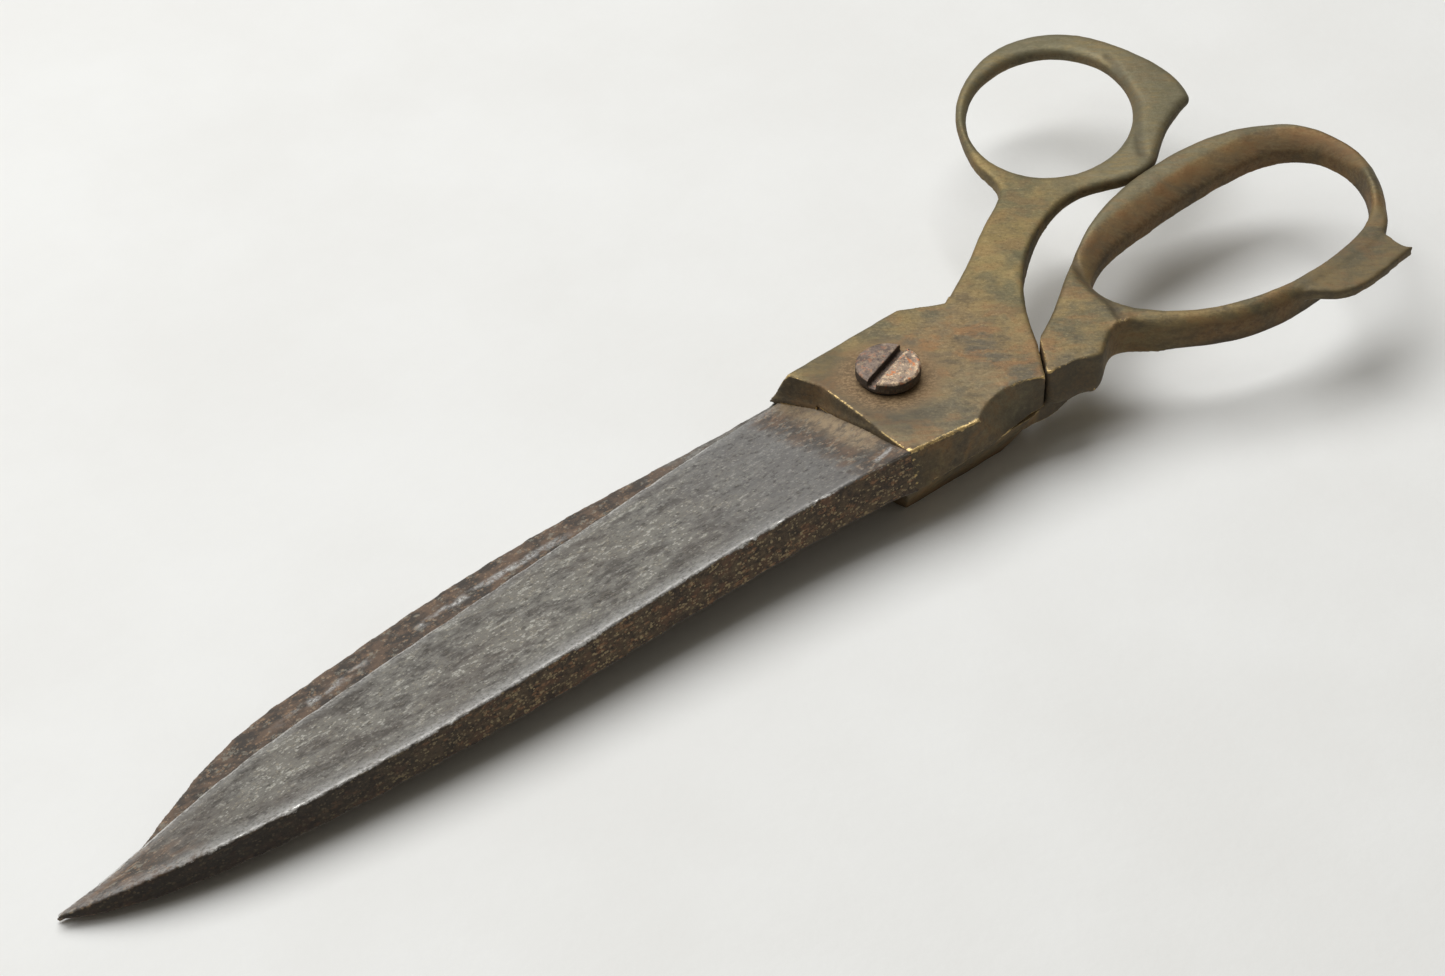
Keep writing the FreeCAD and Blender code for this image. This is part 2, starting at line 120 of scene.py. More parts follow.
class Surface:
    """A dense skin grown on one CAD node, held as arrays while it is worn and painted."""

    def __init__(self, node, voxel, turn=0.0):
        """voxel is the skin's face size in millimetres; turn lays the faces askew in plan, in degrees."""
        self.node = node
        self.obj = bpy.data.objects.new(node + "_aged", frame["nodes"][node].data.copy())
        bpy.context.scene.collection.objects.link(self.obj)
        welded = bmesh.new()
        welded.from_mesh(self.obj.data)
        bmesh.ops.remove_doubles(welded, verts=welded.verts, dist=WELD * MM)
        welded.to_mesh(self.obj.data)
        welded.free()
        turned = Matrix.Rotation(math.radians(turn), 4, "Z")
        self.obj.data.transform(turned)
        remesh = self.obj.modifiers.new("skin", "REMESH")
        remesh.mode = "VOXEL"
        remesh.voxel_size = voxel * MM
        skin = self.obj.evaluated_get(bpy.context.evaluated_depsgraph_get())
        mesh = bpy.data.meshes.new_from_object(skin)
        self.obj.modifiers.clear()
        self.obj.data = mesh
        mesh.transform(turned.inverted())
        mesh.materials.clear()
        self.edges = np.zeros(len(mesh.edges) * 2, int)
        mesh.edges.foreach_get("vertices", self.edges)
        self.edges = self.edges.reshape(-1, 2)
        self.neighbours = np.bincount(self.edges.ravel(), minlength=len(mesh.vertices))
        flat = np.zeros(len(mesh.vertices) * 3)
        mesh.vertices.foreach_get("co", flat)
        self.points = flat.reshape(-1, 3)
        self.store()

    def store(self):
        """Write the points to the mesh and read its normals and the pivot's coordinates again."""
        mesh = self.obj.data
        mesh.vertices.foreach_set("co", self.points.ravel())
        mesh.update()
        flat = np.zeros(len(mesh.vertices) * 3)
        mesh.vertex_normals.foreach_get("vector", flat)
        self.normals = flat.reshape(-1, 3)
        from_pivot = (self.points - CENTRE) / MM
        self.uvw = np.stack([from_pivot @ ALONG, from_pivot[:, 1], from_pivot @ AXIS], axis=1)
        self.u, self.v, self.w = self.uvw.T
        self.plan = self.uvw[:, :2]
        self.facing = self.normals @ AXIS

    def averaged(self, values):
        """Each vertex's mean over its neighbours."""
        first, second = self.edges.T
        size = len(self.neighbours)
        totals = [np.bincount(first, column[second], size) + np.bincount(second, column[first], size)
                  for column in values.T]
        return np.stack(totals, axis=1) / self.neighbours[:, None]

    def blurred(self, values, rounds, share=0.5):
        """The values moved towards their neighbours' mean, by this share in each round."""
        share = np.broadcast_to(share, len(values))[:, None]
        for _ in range(rounds):
            values = values + share * (self.averaged(values) - values)
        return values

    def smooth(self, rounds, share=0.5):
        """Move every vertex towards its neighbours; share is one number, or one for each vertex."""
        self.points = self.blurred(self.points, rounds, share)
        self.store()

    def press(self, depth):
        """Move every vertex inwards along its normal by this many millimetres."""
        self.points = self.points - self.normals * (depth * MM)[:, None]
        self.store()

    def shift(self, direction, amount):
        """Move every vertex this many millimetres in one direction."""
        self.points = self.points + np.outer(amount * MM, direction)
        self.store()

    def flat_normals(self):
        """The normals' parts in plan."""
        return np.stack([self.normals @ ALONG, self.normals[:, 1]], axis=1)

    def bulge(self, rounds):
        """How far each vertex stands out of the broad shape round it, in millimetres."""
        broad = self.blurred(self.points, rounds)
        return ((self.points - broad) * self.normals).sum(axis=1) / MM

    def paint(self, name, values):
        """Store a value from 0 to 1 on every vertex, for the material to read."""
        layer = self.obj.data.attributes.new(name, "FLOAT", "POINT")
        layer.data.foreach_set("value", np.clip(values, 0.0, 1.0).astype(np.float32))

    def finish(self, body, material):
        """Keep the skin inside the CAD's box and hand it over in place of its CAD node."""
        low, high = (np.array(tuple(corner)) for corner in CAD_BOX)
        self.points = np.clip(self.points, low, high)
        self.store()
        mesh = self.obj.data
        mesh.materials.append(material)
        mesh.shade_smooth()
        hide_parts(self.node)
        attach(self.obj, body)


# ---------------------------------------------------------------- materials

class Nodes:
    """Builds one material's nodes. Most methods add one or more nodes and give back an output socket."""

    def __init__(self, name):
        self.material = bpy.data.materials.new(name)
        self.material.use_nodes = True
        self.tree = self.material.node_tree
        self.shader = self.tree.nodes["Principled BSDF"]
        self.place = self.add("TexCoord", "Object", {})

    def add(self, kind, output, inputs, **settings):
        node = self.tree.nodes.new("ShaderNode" + kind)
        for key, value in settings.items():
            setattr(node, key, value)
        for key, value in inputs.items():
            self.feed(node.inputs[key], value)
        return node.outputs[output]

    def feed(self, socket, value):
        if isinstance(value, bpy.types.NodeSocket):
            self.tree.links.new(value, socket)
        else:
            socket.default_value = value

    def sized(self, size, turn):
        """Places in steps of this many millimetres along each axis, turned in plan by some degrees."""
        return self.add("Mapping", "Vector",
                        {"Vector": self.place, "Scale": [each * MM for each in size],
                         "Rotation": (0.0, 0.0, math.radians(turn))}, vector_type="TEXTURE")

    def grains(self, size, detail=4.0, roughness=0.6, distortion=0.0, turn=0.0):
        """Noise with grains of this size."""
        return self.add("TexNoise", "Fac",
                        {"Vector": self.sized(size, turn), "Scale": 1.0, "Detail": detail,
                         "Roughness": roughness, "Distortion": distortion})

    def dots(self, size, share):
        """Loose dots of many sizes, in cells of this size; share is how many of the cells have one."""
        distance = self.add("TexVoronoi", "Distance", {"Vector": self.sized(size, 0.0), "Scale": 1.0})
        chance = self.add("SeparateColor", "Red", {"Color": distance.node.outputs["Color"]})
        radius = self.between(chance, 1.0 - share, 1.0, 0.0, 0.75)
        return self.between(self.maths("SUBTRACT", radius, distance), 0.0, 0.2)

    def painted(self, name):
        """A value that Surface.paint() stored."""
        return self.add("Attribute", "Fac", {}, attribute_name=name)

    def between(self, value, low, high, to_low=0.0, to_high=1.0):
        """The value eased from to_low to to_high as it runs from low to high."""
        return self.add("MapRange", "Result", {"Value": value, "From Min": low, "From Max": high,
                                               "To Min": to_low, "To Max": to_high},
                        interpolation_type="SMOOTHSTEP")

    def maths(self, operation, first, second):
        """One operation on two numbers, with the result kept from 0 to 1."""
        return self.add("Math", 0, {0: first, 1: second}, operation=operation, use_clamp=True)

    def times(self, *values):
        """The values multiplied together."""
        total = values[0]
        for value in values[1:]:
            total = self.maths("MULTIPLY", total, value)
        return total

    def mix(self, share, first, second):
        """Two colours mixed."""
        return self.add("Mix", 2, {0: share, 6: first, 7: second}, data_type="RGBA")

    def level(self, share, first, second):
        """Two numbers mixed."""
        return self.add("Mix", 0, {0: share, 2: first, 3: second}, data_type="FLOAT")

    def bump(self, height, depth, under=None):
        """A bump of this many millimetres, laid over another where one is given."""
        inputs = {"Height": height, "Distance": depth * MM, "Strength": 1.0}
        if under is not None:
            inputs["Normal"] = under
        return self.add("Bump", "Normal", inputs)

    def done(self, colour, roughness, metallic, normal):
        """Plug the finished values into the shader and give back the material."""
        for socket, value in (("Base Color", colour), ("Roughness", roughness),
                              ("Metallic", metallic), ("Normal", normal)):
            self.feed(self.shader.inputs[socket], value)
        return self.material


def rgb(red, green, blue):
    return (red, green, blue, 1.0)


# The blades' colours; the soot ones are for the walls: a dark crust with shade painted into it, darkest
# towards the point.
STEEL = {
    "dark": rgb(0.098, 0.090, 0.080),
    "pale": rgb(0.225, 0.215, 0.193),
    "clouded": rgb(0.115, 0.096, 0.082),
    "clean": rgb(0.215, 0.212, 0.208),
    "crust": rgb(0.27, 0.26, 0.225),
    "between_crusts": rgb(0.080, 0.070, 0.060),
    "ochre_dot": rgb(0.42, 0.34, 0.20),
    "grey_dot": rgb(0.45, 0.44, 0.40),
    "large_dot": rgb(0.44, 0.43, 0.38),
    "dark_fleck": rgb(0.066, 0.058, 0.052),
    "pit": rgb(0.052, 0.045, 0.040),
    "scratch": rgb(0.36, 0.35, 0.33),
    "brown_dark": rgb(0.060, 0.050, 0.042),
    "brown_light": rgb(0.145, 0.099, 0.070),
    "brown_dot": rgb(0.34, 0.22, 0.13),
    "brown_fleck": rgb(0.27, 0.25, 0.20),
    "ground": rgb(0.42, 0.415, 0.40),
    "dirt_dark": rgb(0.22, 0.15, 0.085),
    "dirt_light": rgb(0.42, 0.33, 0.21),
    "wall_crust_and_shade": rgb(0.048, 0.032, 0.021),
    "soot_brown": rgb(0.130, 0.088, 0.046),
    "soot_streak": rgb(0.150, 0.100, 0.060),
    "soot_rust": rgb(0.160, 0.078, 0.042),
    "soot_pit": rgb(0.020, 0.015, 0.012),
    "soot_large_dot": rgb(0.33, 0.17, 0.08),
    "soot_dot": rgb(0.42, 0.32, 0.17),
    "soot_shade": rgb(0.014, 0.010, 0.007),
    "bare_and_highlight": rgb(0.64, 0.63, 0.60),
}


def aged_steel(name):
    """Steel gone dark and mottled: pale specks, rust, faint lengthwise scratches, bright worn edges with
    painted glints on some, and walls darkened by crust and painted shade.
    """
    n = Nodes(name)
    # Noise of several sizes, and loose dots where the noise lets them show.
    cloud = n.grains((14.0, 8.0, 8.0), detail=4.0)
    mottle = n.grains((1.7, 1.1, 1.1), detail=6.0, roughness=0.75)
    specks = n.grains((0.60, 0.48, 0.48), detail=4.0, roughness=0.8)
    flecks = n.grains((1.5, 1.0, 1.0), detail=5.0, roughness=0.75)
    patches = n.grains((7.0, 3.5, 3.5), detail=5.0, roughness=0.6)
    scratches = n.grains((20.0, 0.3, 0.3), detail=4.0, roughness=0.6)
    fine = n.times(n.dots((0.48, 0.34, 0.34), 0.7), n.between(flecks, 0.44, 0.56, 0.15, 1.0))
    coarse = n.times(n.dots((1.6, 0.6, 0.6), 0.55), n.between(specks, 0.44, 0.56))
    holes = n.times(n.dots((0.8, 0.5, 0.5), 0.6), n.between(mottle, 0.40, 0.55, 1.0, 0.1))
    upright = n.grains((0.4, 0.4, 4.0), detail=4.0, roughness=0.7)
    blotches = n.grains((3.4, 2.0, 2.0), detail=5.0, roughness=0.65)
    rust, wear_and_highlight, wall = n.painted("rust"), n.painted("wear_and_highlight"), n.painted("wall")
    band, dirt = n.painted("band"), n.painted("dirt")

    # The flat faces.
    colour = n.mix(n.between(mottle, 0.36, 0.64), STEEL["dark"], STEEL["pale"])
    colour = n.mix(n.times(n.between(cloud, 0.44, 0.58), 0.5), colour, STEEL["clouded"])
    colour = n.mix(n.times(n.painted("clean"), 0.55), colour, STEEL["clean"])
    crusted = n.times(n.between(patches, 0.44, 0.58), n.painted("crust"))
    colour = n.mix(n.times(crusted, 0.5), colour, STEEL["crust"])
    uncrusted = n.times(n.between(patches, 0.48, 0.36), n.painted("crust"))
    colour = n.mix(n.times(uncrusted, 0.7), colour, STEEL["between_crusts"])
    dot = n.mix(n.between(flecks, 0.44, 0.56), STEEL["ochre_dot"], STEEL["grey_dot"])
    colour = n.mix(n.times(fine, n.between(crusted, 0.0, 1.0, 0.35, 0.85)), colour, dot)
    colour = n.mix(n.times(coarse, n.between(crusted, 0.0, 1.0, 0.15, 0.85)), colour, STEEL["large_dot"])
    colour = n.mix(n.times(n.between(flecks, 0.42, 0.34), 0.55), colour, STEEL["dark_fleck"])
    colour = n.mix(n.times(holes, 0.6), colour, STEEL["pit"])
    colour = n.mix(n.times(n.between(scratches, 0.60, 0.70), 0.35), colour, STEEL["scratch"])

    # Brown rust, then the ground band, then dirt by the casting.
    brown = n.mix(n.between(blotches, 0.40, 0.62), STEEL["brown_dark"], STEEL["brown_light"])
    brown = n.mix(n.times(fine, 0.6), brown, STEEL["brown_dot"])
    brown = n.mix(n.times(n.between(flecks, 0.54, 0.62), 0.6), brown, STEEL["brown_fleck"])
    rusty = n.between(n.maths("ADD", n.times(rust, 0.9), n.times(blotches, 0.55)), 0.45, 0.85)
    colour = n.mix(rusty, colour, brown)
    colour = n.mix(n.times(band, n.between(specks, 0.38, 0.56, 0.2, 0.95)), colour, STEEL["ground"])
    dusty = n.times(dirt, n.between(mottle, 0.35, 0.6, 0.3, 1.0))
    colour = n.mix(dusty, colour, n.mix(specks, STEEL["dirt_dark"], STEEL["dirt_light"]))

    # The walls: a dark crust with shade painted into it, darkest towards the point.
    wall_crust_and_shade = n.mix(n.between(mottle, 0.40, 0.62), STEEL["wall_crust_and_shade"], STEEL["soot_brown"])
    wall_crust_and_shade = n.mix(n.times(n.between(upright, 0.50, 0.66), 0.4), wall_crust_and_shade, STEEL["soot_streak"])
    wall_crust_and_shade = n.mix(n.times(n.between(blotches, 0.52, 0.66), 0.75), wall_crust_and_shade, STEEL["soot_rust"])
    wall_crust_and_shade = n.mix(n.times(n.between(specks, 0.46, 0.38), 0.7), wall_crust_and_shade, STEEL["soot_pit"])
    wall_crust_and_shade = n.mix(n.times(coarse, 0.8), wall_crust_and_shade, STEEL["soot_large_dot"])
    wall_crust_and_shade = n.mix(n.times(fine, 0.9), wall_crust_and_shade, STEEL["soot_dot"])
    wall_crust_and_shade = n.mix(n.times(n.painted("shade"), 0.85), wall_crust_and_shade, STEEL["soot_shade"])
    colour = n.mix(n.times(wall, 0.93), colour, wall_crust_and_shade)

    # Bare metal along the worn edges, with painted glints along the upper blade's spine edge and cutting
    # edge.
    bare_and_highlight = n.between(n.maths("ADD", wear_and_highlight, n.between(specks, 0.3, 0.7, -0.3, 0.3)), 0.45, 0.9)
    colour = n.mix(bare_and_highlight, colour, STEEL["bare_and_highlight"])

    dull = n.maths("MAXIMUM", n.maths("MAXIMUM", rusty, dusty), n.times(wall, 0.9))
    roughness = n.level(dull, n.between(mottle, 0.3, 0.7, 0.52, 0.42), 0.8)
    roughness = n.level(bare_and_highlight, roughness, 0.32)
    metallic = n.level(bare_and_highlight, n.level(dull, 0.5, 0.05), 0.5)
    normal = n.bump(mottle, 0.05)
    normal = n.bump(specks, 0.06, under=normal)
    normal = n.bump(n.times(blotches, n.maths("ADD", dull, 0.1)), 0.18, under=normal)
    return n.done(colour, roughness, metallic, normal)


# The castings' colours; the grime ones are for their walls, dirt with shade painted into it, and scorch
# also paints shade on a sloping facet.
BRASS = {
    "block_golden": rgb(0.232, 0.164, 0.084),
    "neck_golden": rgb(0.272, 0.202, 0.083),
    "block_dusky": rgb(0.132, 0.110, 0.076),
    "neck_dusky": rgb(0.156, 0.136, 0.071),
    "rust_stain": rgb(0.285, 0.150, 0.062),
    "dark_stain": rgb(0.100, 0.080, 0.054),
    "pale_streak": rgb(0.31, 0.225, 0.095),
    "dark_streak": rgb(0.095, 0.076, 0.048),
    "dark_grain": rgb(0.080, 0.060, 0.036),
    "pale_grain": rgb(0.36, 0.27, 0.13),
    "grime_dark": rgb(0.058, 0.042, 0.022),
    "grime_brown": rgb(0.155, 0.094, 0.036),
    "grime_pale_streak": rgb(0.165, 0.130, 0.064),
    "grime_dark_streak": rgb(0.028, 0.021, 0.013),
    "grime_pale_grain": rgb(0.22, 0.175, 0.100),
    "grime_dark_grain": rgb(0.018, 0.014, 0.009),
    "chalk": rgb(0.184, 0.165, 0.103),
    "tan": rgb(0.20, 0.105, 0.040),
    "scorch_and_shade": rgb(0.085, 0.070, 0.048),
    "dirt_dark": rgb(0.20, 0.120, 0.056),
    "dirt_light": rgb(0.36, 0.245, 0.13),
    "corner": rgb(0.030, 0.022, 0.015),
    "rubbed_and_highlight": rgb(0.66, 0.47, 0.20),
}


def aged_brass(name):
    """Cast brass gone olive-brown, gold where it is rubbed and where highlights are painted, dark with
    dirt in its corners, and with shade painted on its walls and in some hollows.
    """
    n = Nodes(name)
    cloud = n.grains((8.0, 8.0, 8.0), detail=4.0, roughness=0.6)
    streaks = n.grains((4.0, 0.8, 1.2), detail=5.0, roughness=0.7, turn=-40.0)
    stain = n.grains((6.5, 4.0, 4.0), detail=5.0, roughness=0.65, distortion=0.2, turn=-40.0)
    grain = n.grains((0.6, 0.4, 0.4), detail=4.0, roughness=0.75, turn=-40.0)
    wear_and_highlight, cavity_and_shade, wall = n.painted("wear_and_highlight"), n.painted("cavity_and_shade"), n.painted("wall")
    ochre, scorch_and_shade, tint = n.painted("ochre"), n.painted("scorch_and_shade"), n.painted("tint")

    # The patina, with stains and fine grain on it.
    golden = n.mix(tint, BRASS["block_golden"], BRASS["neck_golden"])
    dusky = n.mix(tint, BRASS["block_dusky"], BRASS["neck_dusky"])
    colour = n.mix(n.between(cloud, 0.38, 0.62), golden, dusky)
    calm = n.between(tint, 0.0, 1.0, 1.0, 0.4)
    colour = n.mix(n.times(n.between(stain, 0.48, 0.62), 0.65, calm), colour, BRASS["rust_stain"])
    colour = n.mix(n.times(n.between(stain, 0.47, 0.34), 0.75, calm), colour, BRASS["dark_stain"])
    colour = n.mix(n.times(n.between(streaks, 0.48, 0.68), 0.35), colour, BRASS["pale_streak"])
    colour = n.mix(n.times(n.between(streaks, 0.44, 0.32), 0.45, calm), colour, BRASS["dark_streak"])
    colour = n.mix(n.times(n.between(grain, 0.54, 0.66), 0.35), colour, BRASS["dark_grain"])
    colour = n.mix(n.times(n.between(grain, 0.45, 0.34), 0.35), colour, BRASS["pale_grain"])

    # Grime with painted shade on the walls, chalky and tan places on the loops, dirt round the screw, and
    # dark corners, some with painted shade.
    grime_and_shade = n.mix(n.between(stain, 0.36, 0.64), BRASS["grime_dark"], BRASS["grime_brown"])
    grime_and_shade = n.mix(n.times(n.between(streaks, 0.50, 0.64), 0.6), grime_and_shade, BRASS["grime_pale_streak"])
    grime_and_shade = n.mix(n.times(n.between(streaks, 0.46, 0.34), 0.8), grime_and_shade, BRASS["grime_dark_streak"])
    grime_and_shade = n.mix(n.times(n.between(grain, 0.52, 0.62), 0.45), grime_and_shade, BRASS["grime_pale_grain"])
    grime_and_shade = n.mix(n.times(n.between(grain, 0.47, 0.36), 0.75), grime_and_shade, BRASS["grime_dark_grain"])
    colour = n.mix(n.times(n.painted("chalk"), n.between(streaks, 0.38, 0.62, 0.35, 0.85)), colour,
                   BRASS["chalk"])
    colour = n.mix(n.times(n.painted("tan"), n.between(stain, 0.3, 0.6, 0.25, 0.75)), colour,
                   BRASS["tan"])
    colour = n.mix(n.times(wall, 0.6), colour, grime_and_shade)
    colour = n.mix(n.times(scorch_and_shade, n.between(grain, 0.35, 0.6, 0.95, 0.55)), colour,
                   BRASS["scorch_and_shade"])
    dirt_colour = n.mix(n.between(grain, 0.36, 0.64), BRASS["dirt_dark"], BRASS["dirt_light"])
    colour = n.mix(n.times(ochre, n.between(grain, 0.35, 0.6, 0.5, 1.0)), colour, dirt_colour)
    colour = n.mix(n.times(cavity_and_shade, 0.9), colour, BRASS["corner"])
    # Gold where edges are rubbed, and painted highlights on lit rims and a bump.
    rubbed_and_highlight = n.between(n.maths("ADD", wear_and_highlight, n.between(grain, 0.3, 0.7, -0.25, 0.25)), 0.5, 0.95)
    colour = n.mix(rubbed_and_highlight, colour, BRASS["rubbed_and_highlight"])

    dirt = n.maths("MAXIMUM", n.maths("MAXIMUM", ochre, scorch_and_shade), n.maths("MAXIMUM", cavity_and_shade, wall))
    roughness = n.level(dirt, n.between(grain, 0.3, 0.7, 0.50, 0.64), 0.8)
    roughness = n.level(rubbed_and_highlight, roughness, 0.30)
    metallic = n.level(rubbed_and_highlight, n.level(dirt, 0.6, 0.15), 0.6)
    normal = n.bump(stain, 0.10)
    normal = n.bump(streaks, 0.05, under=normal)
    normal = n.bump(grain, 0.05, under=normal)
    return n.done(colour, roughness, metallic, normal)


# The screw's and the washer's colours.
IRON = {
    "dark": rgb(0.080, 0.060, 0.056),
    "light": rgb(0.190, 0.145, 0.125),
    "dusty": rgb(0.44, 0.33, 0.24),
    "pale_grain": rgb(0.80, 0.62, 0.42),
    "rust": rgb(0.62, 0.25, 0.11),
    "dark_grain": rgb(0.04, 0.026, 0.024),
    "corner": rgb(0.014, 0.010, 0.008),
    "bare_and_highlight": rgb(0.60, 0.55, 0.50),
}


def rusted_iron(name):
    """Dark iron with rust grains on it."""
    n = Nodes(name)
    cloud = n.grains((2.4, 2.4, 2.4), detail=4.0)
    grain = n.grains((0.75, 0.75, 0.75), detail=5.0, roughness=0.8)
    fleck = n.grains((0.9, 0.9, 0.9), detail=4.0, roughness=0.7)
    wear_and_highlight, cavity_and_shade, rust = n.painted("wear_and_highlight"), n.painted("cavity_and_shade"), n.painted("rust")
    colour = n.mix(n.between(cloud, 0.4, 0.6), IRON["dark"], IRON["light"])
    colour = n.mix(n.times(rust, n.between(cloud, 0.3, 0.6, 0.35, 0.8)), colour, IRON["dusty"])
    colour = n.mix(n.times(n.between(grain, 0.50, 0.60), rust), colour, IRON["pale_grain"])
    colour = n.mix(n.times(n.between(fleck, 0.54, 0.62), rust), colour, IRON["rust"])
    colour = n.mix(n.times(n.between(grain, 0.43, 0.34), 0.8), colour, IRON["dark_grain"])
    colour = n.mix(cavity_and_shade, colour, IRON["corner"])
    bare_and_highlight = n.between(n.maths("ADD", wear_and_highlight, n.between(grain, 0.3, 0.7, -0.25, 0.25)), 0.45, 0.85)
    colour = n.mix(bare_and_highlight, colour, IRON["bare_and_highlight"])
    roughness = n.level(bare_and_highlight, n.between(grain, 0.35, 0.65, 0.45, 0.75), 0.35)
    metallic = n.level(bare_and_highlight, n.level(cavity_and_shade, 0.5, 0.0), 1.0)
    normal = n.bump(cloud, 0.12)
    normal = n.bump(grain, 0.12, under=normal)
    return n.done(colour, roughness, metallic, normal)


# ---------------------------------------------------------------- pieces

# A short scratch in the upper blade's near corner, beside the casting, in plan.
CORNER_SCRATCH = [(-10.3, -11.5), (-11.9, -12.1), (-13.7, -12.3)]


def aged_blade(node, body, side, material):
    """side is +1 for the upper blade, -1 for the lower one."""
    # The faces run askew, so that no row of them lies along the blade's outline and leaves steps in it.
    skin = Surface(node, voxel=0.34, turn=37.0)
    skin.smooth(3, share=0.5 * steps(skin.u, -10.0, -12.0))
    if side < 0:
        skin.smooth(8, share=0.5 * steps(skin.u, -10.0, -12.0) * steps(skin.v, 2.0, 5.0))
    free = steps(skin.u, -10.5, -13.0)
    facing, out = side * skin.facing, side * skin.w
    # The walls, which the material darkens with crust and painted shade.
    wall = steps(np.abs(facing), 0.75, 0.35)
    # The face that slides on the other blade stays flat.
    running = steps(out, 0.5, 0.2) * steps(facing, -0.6, -0.9)
    waves = 0.025 * lumps(skin.uvw, 14.0, seed=1) + 0.008 * lumps(skin.uvw, 3.0, seed=2)
    pits = 0.05 * wall * steps(lumps(skin.uvw, 0.9, seed=3), 0.25, 0.8)
    nicks = (0.11 * steps(skin.bulge(4), 0.05, 0.12) * steps(lumps(skin.uvw, 1.6, seed=4), 0.55, 0.9)
             * (side > 0))
    skin.press((waves + pits + nicks) * free * (1 - running))
    skin.smooth(1, share=0.4 * free)
    # The root's rear faces go a little into the casting, and the upper face rises where it meets it.
    skin.shift(ALONG, 0.3 * steps(skin.u, -9.5, -9.1) * steps(skin.normals @ ALONG, 0.3, 0.7))
    if side > 0:
        skin.shift(AXIS, 0.45 * steps(skin.u, -12.2, -9.8) * steps(skin.facing, 0.7, 0.9)
                   * steps(skin.v, -10.0, -5.0))

    facing, across = side * skin.facing, side * skin.v
    spine_wall = (np.abs(facing) < 0.5) & (across < 0) & (skin.u < -9.0)
    from_spine = nearest(skin.plan, skin.plan[spine_wall])
    middle = steps(skin.u, -12.0, -30.0) * steps(skin.u, -148.0, -120.0)
    upward = steps(skin.facing, 0.6, 0.9)
    wear_and_highlight = steps(skin.bulge(10), 0.06, 0.19) * (0.25 + 0.4 * middle)
    # Painted glints, with the bare worn metal, along the upper blade's spine edge and cutting edge.
    glint = 0.45 + 0.5 * lumps(skin.uvw, (3.0, 1.0, 1.0), seed=7)
    if side > 0:
        edge_land = (np.abs(facing) < 0.6) & (across > 0) & (skin.u < -9.0)
        from_edge = nearest(skin.plan, skin.plan[edge_land])
        chips = steps(lumps(skin.uvw, 0.8, seed=8), -0.4, 0.3)
        line = steps(from_spine, 0.5, 0.15) * (0.5 + 0.6 * middle) * glint * (0.5 + 0.7 * chips)
        wear_and_highlight = np.maximum(wear_and_highlight, line * steps(skin.facing, 0.0, 0.5))
        keen = (steps(from_edge, 0.75, 0.3) * steps(skin.facing, -0.2, 0.2) * steps(skin.u, -12.0, -25.0)
                * (0.75 + 0.3 * lumps(skin.uvw, (4.0, 1.0, 1.0), seed=9)))
        wear_and_highlight = np.maximum(wear_and_highlight, keen)
        spine_band = steps(from_spine, 3.2, 0.2) * steps(skin.u, -16.0, -50.0) * (0.35 + 0.45 * middle)
        band = np.maximum(spine_band, 0.4 * steps(from_edge, 2.0, 0.6)) * upward
        scratch = steps(from_line(skin.plan, CORNER_SCRATCH), 0.55, 0.15)
        band = np.maximum(band, scratch * upward)
        rust = 0.55 * steps(skin.u, -22.0, -15.0) * upward
    else:
        broken = (steps(lumps(skin.uvw, (7.0, 3.0, 3.0), seed=5), -0.4, 0.2)
                  * steps(lumps(skin.uvw, (1.6, 0.6, 0.6), seed=10), -0.5, 0.1))
        ground = steps(np.abs(from_spine - 3.0), 0.8, 0.3) * broken
        band = ground * upward * steps(skin.u, -12.0, -18.0) * steps(skin.u, -112.0, -95.0)
        wear_and_highlight = np.maximum(wear_and_highlight, 0.55 * band)
        bared = 0.3 + 0.7 * steps(from_spine, 7.5, 5.5)
        rust = (0.3 + 0.6 * steps(skin.u, -25.0, -50.0)) * bared * upward
    skin.paint("wear_and_highlight", wear_and_highlight)
    skin.paint("band", band)
    skin.paint("wall", wall)
    skin.paint("clean", upward * steps(skin.u, -52.0, -24.0) * steps(skin.u, -13.0, -20.0) * (side > 0))
    skin.paint("shade", wall * steps(skin.u, -70.0, -125.0))
    skin.paint("crust", upward * steps(skin.u, -20.0, -45.0) * steps(skin.u, -140.0, -105.0)
               * steps(from_spine, 1.5, 5.0))
    smear = (0.8 * wall * steps(skin.u, -26.0, -10.0)
             * steps(lumps(skin.uvw, (5.0, 2.0, 2.0), seed=6), -0.2, 0.5))
    corner = steps(skin.u, -15.0, -11.0) * upward * steps(across, -12.0, -6.0)
    skin.paint("dirt", np.maximum(corner, smear))
    skin.paint("rust", np.maximum.reduce([rust, 0.6 * steps(skin.facing, -0.5, -0.9),
                                          0.7 * steps(skin.u, -115.0, -140.0)]))
    skin.finish(body, material)


def round_off(skin, centre, low, high, begins, drops):
    """Reshape a finger loop's top.

    centre is the hole's middle in plan, low and high are the loop's underside and top, and begins is
    where along the shears the loop starts. drops gives how far the top falls, from the distances to the
    hole's wall and to the outside wall. Gives back every vertex's distance to the hole's wall and its
    share of the loop's height.
    """
    inwards = (skin.flat_normals() * (np.array(centre) - skin.plan)).sum(axis=1)
    loop = skin.u > begins - 4
    walls = (np.abs(skin.facing) < 0.4) & (np.abs(skin.w - (low + high) / 2) < 0.5) & loop
    to_hole, to_outside = np.full(len(skin.u), 99.0), np.full(len(skin.u), 99.0)
    to_hole[loop] = nearest(skin.plan[loop], skin.plan[walls & (inwards > 0)])
    to_outside[loop] = nearest(skin.plan[loop], skin.plan[walls & (inwards < 0)])
    height = np.clip((skin.w - low) / (high - low), 0.0, 1.0)
    skin.shift(AXIS, -drops(to_hole, to_outside) * height * steps(skin.u, begins, begins + 5))
    return to_hole, height


